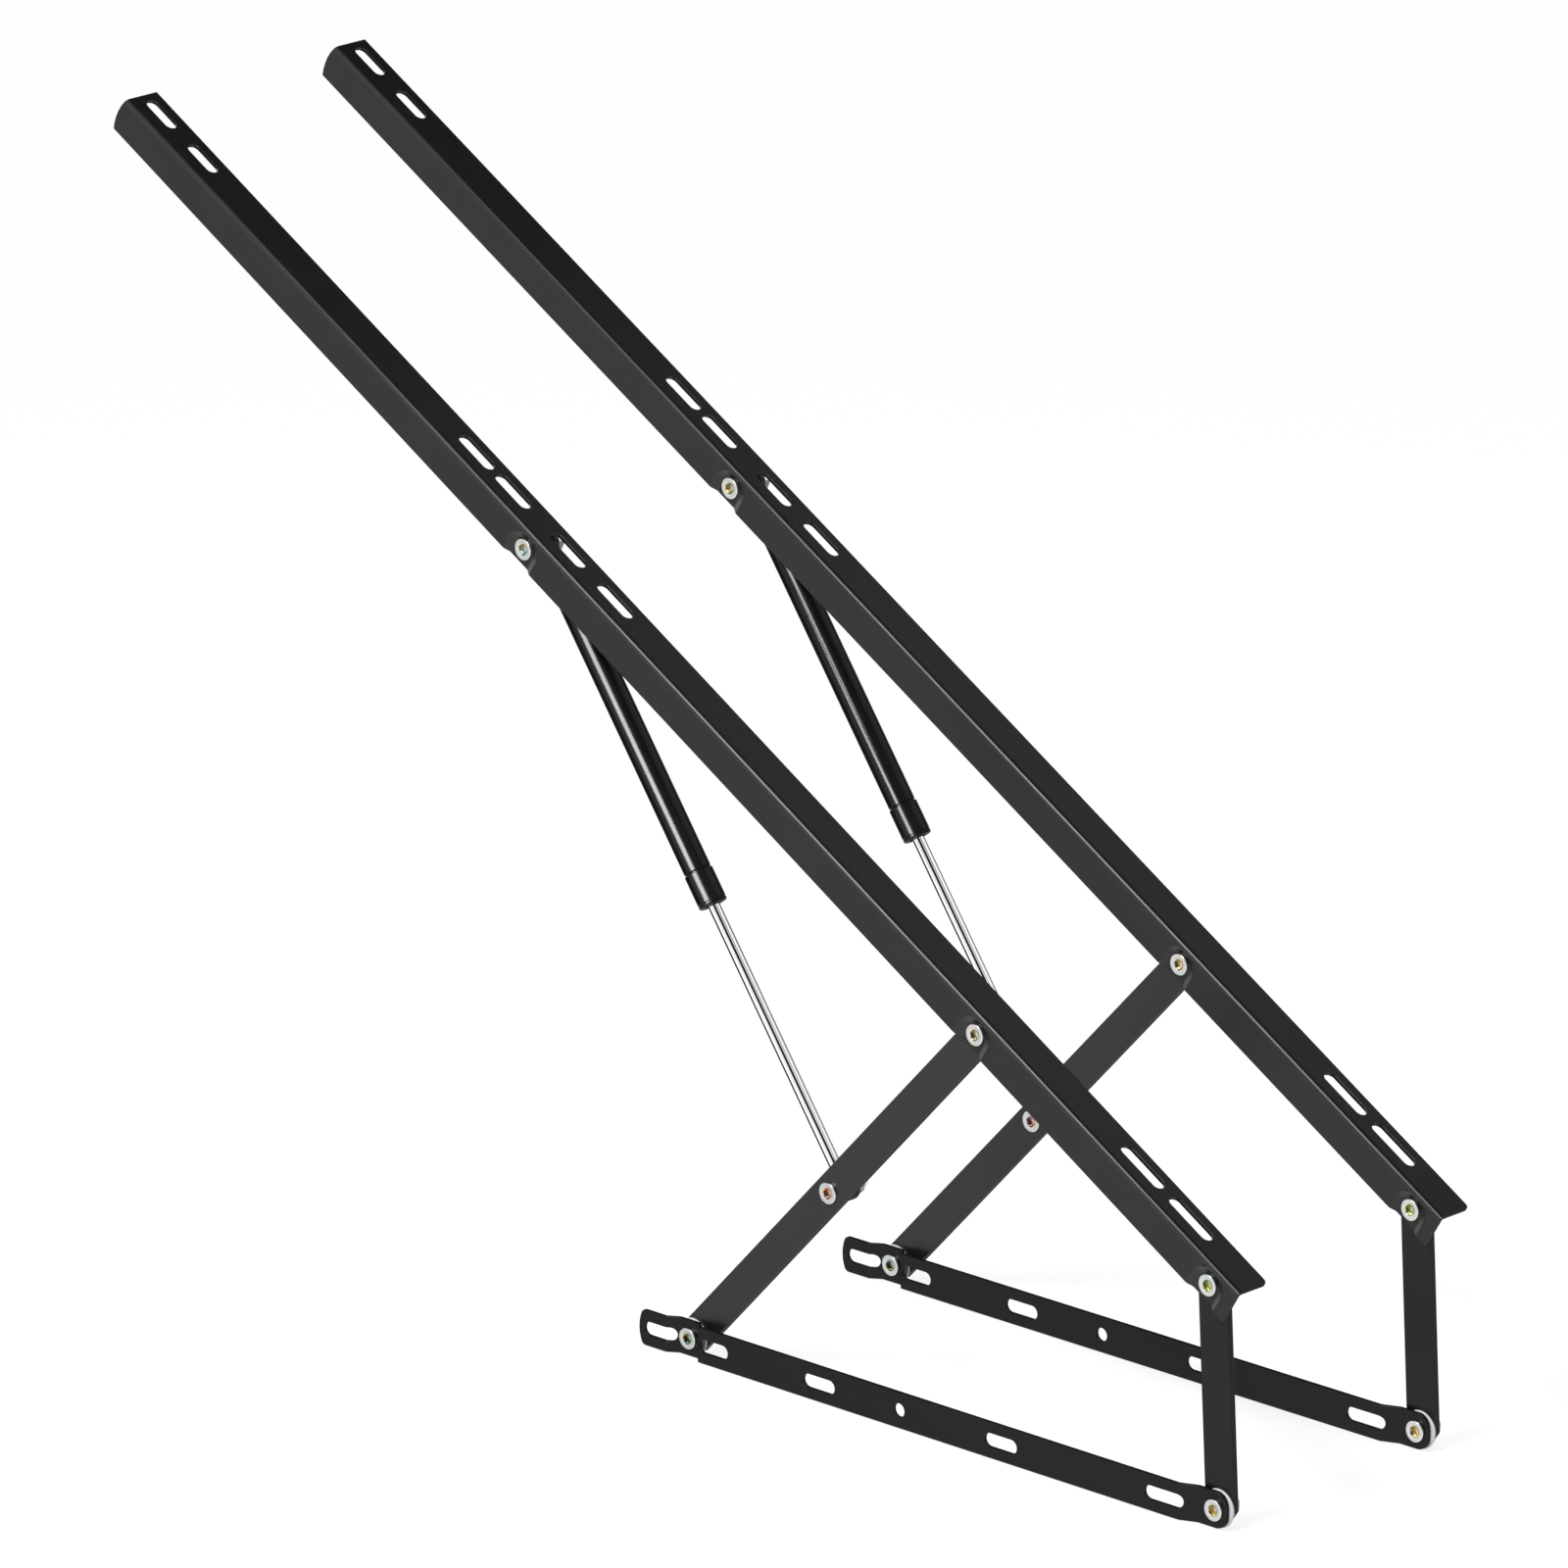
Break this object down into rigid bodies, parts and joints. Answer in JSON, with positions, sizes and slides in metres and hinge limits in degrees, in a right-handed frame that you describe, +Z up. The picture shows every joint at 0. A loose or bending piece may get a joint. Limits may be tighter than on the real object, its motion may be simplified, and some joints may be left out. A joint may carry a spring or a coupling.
{
  "type": "wall bed lift mechanism",
  "caption": "Pair of gas-assisted bed lift linkages: slotted base plate, long and short links, lift rail and gas spring, shown raised.",
  "frame": {"origin": "round fixing hole of the front unit's base plate, on the face that lies against the bed's side", "axes": "+X along the base plates from the long link's foot to the short link's foot, +Y from the front unit to the rear unit, +Z up"},
  "size_m": [0.9734, 0.2312, 0.7347],
  "materials": {
    "black_powder_coat": "fine satin powder coat on pressed steel",
    "gloss_black_paint": "gloss black enamel on the gas spring tube",
    "black_plastic": "moulded end cap, slightly glossy",
    "black_eye_paint": "satin black end eyes",
    "chromed_steel": "hard chromed and polished rod",
    "zinc_plate": "bright zinc plated bolts, nuts, washers and spacers",
    "white_nylon": "natural white nylon thrust washers",
    "guide_plastic": "rod guide and seal inside the tube",
    "piston_steel": "turned piston inside the tube"
  },
  "bodies": {
    "bases": {"front_base_plate": "black_powder_coat", "front_long_foot_bolt": "zinc_plate", "front_long_foot_washer": "white_nylon", "front_long_foot_nut": "zinc_plate", "front_short_foot_bolt": "zinc_plate", "front_short_foot_washer": "white_nylon", "front_short_foot_nut": "zinc_plate", "rear_base_plate": "black_powder_coat", "rear_long_foot_bolt": "zinc_plate", "rear_long_foot_washer": "white_nylon", "rear_long_foot_nut": "zinc_plate", "rear_short_foot_bolt": "zinc_plate", "rear_short_foot_washer": "white_nylon", "rear_short_foot_nut": "zinc_plate"},
    "front_short_arm": {"front_short_link": "black_powder_coat"},
    "front_rail": {"front_lift_rail": "black_powder_coat", "front_short_top_bolt": "zinc_plate", "front_short_top_washer": "zinc_plate", "front_short_top_nut": "zinc_plate", "front_long_top_bolt": "zinc_plate", "front_long_top_washer": "zinc_plate", "front_cylinder_pin": "zinc_plate", "front_cylinder_spacer": "zinc_plate", "front_cylinder_nut": "zinc_plate"},
    "front_long_arm": {"front_long_link": "black_powder_coat", "front_long_top_nut": "zinc_plate", "front_rod_pin": "zinc_plate", "front_rod_spacer": "zinc_plate"},
    "front_tube": {"front_gas_cylinder": "gloss_black_paint", "front_gas_end_cap": "black_plastic", "front_gas_guide": "guide_plastic", "front_cylinder_eye": "black_eye_paint"},
    "front_rod": {"front_gas_rod": "chromed_steel", "front_gas_piston": "piston_steel", "front_rod_eye": "black_eye_paint", "front_rod_nut": "zinc_plate"},
    "rear_short_arm": {"rear_short_link": "black_powder_coat"},
    "rear_rail": {"rear_lift_rail": "black_powder_coat", "rear_short_top_bolt": "zinc_plate", "rear_short_top_washer": "zinc_plate", "rear_short_top_nut": "zinc_plate", "rear_long_top_bolt": "zinc_plate", "rear_long_top_washer": "zinc_plate", "rear_cylinder_pin": "zinc_plate", "rear_cylinder_spacer": "zinc_plate", "rear_cylinder_nut": "zinc_plate"},
    "rear_long_arm": {"rear_long_link": "black_powder_coat", "rear_long_top_nut": "zinc_plate", "rear_rod_pin": "zinc_plate", "rear_rod_spacer": "zinc_plate"},
    "rear_tube": {"rear_gas_cylinder": "gloss_black_paint", "rear_gas_end_cap": "black_plastic", "rear_gas_guide": "guide_plastic", "rear_cylinder_eye": "black_eye_paint"},
    "rear_rod": {"rear_gas_rod": "chromed_steel", "rear_gas_piston": "piston_steel", "rear_rod_eye": "black_eye_paint", "rear_rod_nut": "zinc_plate"}
  },
  "joints": [
    {"name": "front_fold", "type": "hinge", "parent": "bases", "child": "front_short_arm", "pos_m": [0.2587, 0.012, 0], "axis": [0, 1, 0], "range_deg": [0, 69.3]},
    {"name": "front_rail_turn", "type": "hinge", "parent": "front_short_arm", "child": "front_rail", "pos_m": [0.25084, 0.012, 0.14378], "axis": [0, 1, 0], "range_deg": [-100.31, 0]},
    {"name": "front_long_turn", "type": "hinge", "parent": "bases", "child": "front_long_arm", "pos_m": [-0.1863, 0.012, 0], "axis": [0, 1, 0], "range_deg": [0, 37.37]},
    {"name": "front_spring_turn", "type": "hinge", "parent": "front_rail", "child": "front_tube", "pos_m": [-0.32948, 0.0246, 0.49245], "axis": [0, 1, 0], "range_deg": [-17.27, 0]},
    {"name": "front_rod_slide", "type": "slide", "parent": "front_tube", "child": "front_rod", "axis": [-0.5785, 0, 0.8157], "range_m": [0, 0.17945], "stiffness_N_per_m": 1200, "springref_m": -0.5},
    {"name": "rear_fold", "type": "hinge", "parent": "bases", "child": "rear_short_arm", "pos_m": [0.2587, 0.201, 0], "axis": [0, 1, 0], "range_deg": [0, 69.3]},
    {"name": "rear_rail_turn", "type": "hinge", "parent": "rear_short_arm", "child": "rear_rail", "pos_m": [0.25084, 0.201, 0.14378], "axis": [0, 1, 0], "range_deg": [-100.31, 0]},
    {"name": "rear_long_turn", "type": "hinge", "parent": "bases", "child": "rear_long_arm", "pos_m": [-0.1863, 0.201, 0], "axis": [0, 1, 0], "range_deg": [0, 37.37]},
    {"name": "rear_spring_turn", "type": "hinge", "parent": "rear_rail", "child": "rear_tube", "pos_m": [-0.32948, 0.2136, 0.49245], "axis": [0, 1, 0], "range_deg": [-17.27, 0]},
    {"name": "rear_rod_slide", "type": "slide", "parent": "rear_tube", "child": "rear_rod", "axis": [-0.5785, 0, 0.8157], "range_m": [0, 0.17945], "stiffness_N_per_m": 1200, "springref_m": -0.5}
  ],
  "couplings": [
    {"joint": "front_rail_turn", "follows": "front_fold", "ratio": -1.4473},
    {"joint": "front_long_turn", "follows": "front_fold", "ratio": 0.53907},
    {"joint": "front_spring_turn", "follows": "front_fold", "ratio": -0.24909},
    {"joint": "front_rod_slide", "follows": "front_fold", "m_per_rad": 0.14835},
    {"joint": "rear_rail_turn", "follows": "rear_fold", "ratio": -1.4473},
    {"joint": "rear_long_turn", "follows": "rear_fold", "ratio": 0.53907},
    {"joint": "rear_spring_turn", "follows": "rear_fold", "ratio": -0.24909},
    {"joint": "rear_rod_slide", "follows": "rear_fold", "m_per_rad": 0.14835}
  ]
}
